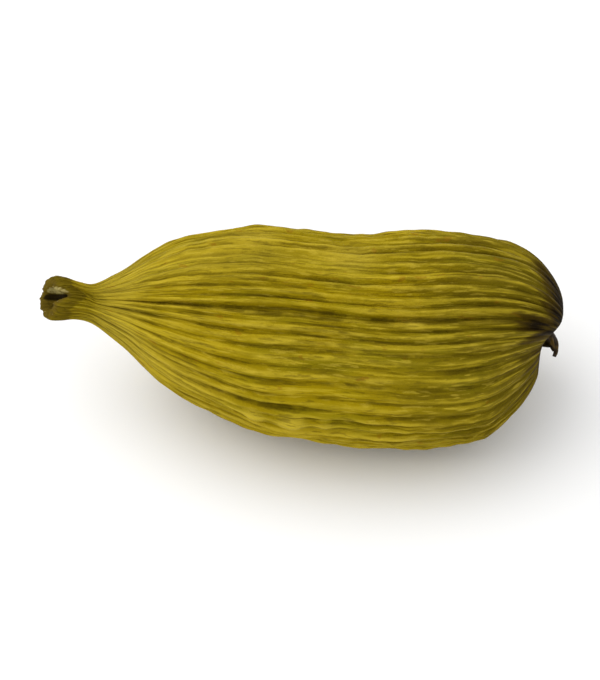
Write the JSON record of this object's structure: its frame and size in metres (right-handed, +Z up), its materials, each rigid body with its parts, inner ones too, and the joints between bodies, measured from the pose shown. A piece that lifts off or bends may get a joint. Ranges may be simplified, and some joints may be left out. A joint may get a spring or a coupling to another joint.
{
  "type": "green cardamom pod",
  "caption": "Dried green cardamom pod: a ribbed, lobed seed capsule that tapers to a short cut stalk and ends blunt in a dried flower stump, lying on its side.",
  "frame": {"origin": "middle of the small flat spot on the underside that the pod rests on", "axes": "+X from the stalk to the flower end, +Z up, -Y towards the side that the broad face looks to"},
  "size_m": [0.0199, 0.0084, 0.0078],
  "materials": {
    "husk": "dry fibrous husk, matte, olive green to straw, paler on the rib crests and brown in the furrows"
  },
  "bodies": {
    "root": {"cardamom_pod": "husk"}
  },
  "joints": []
}
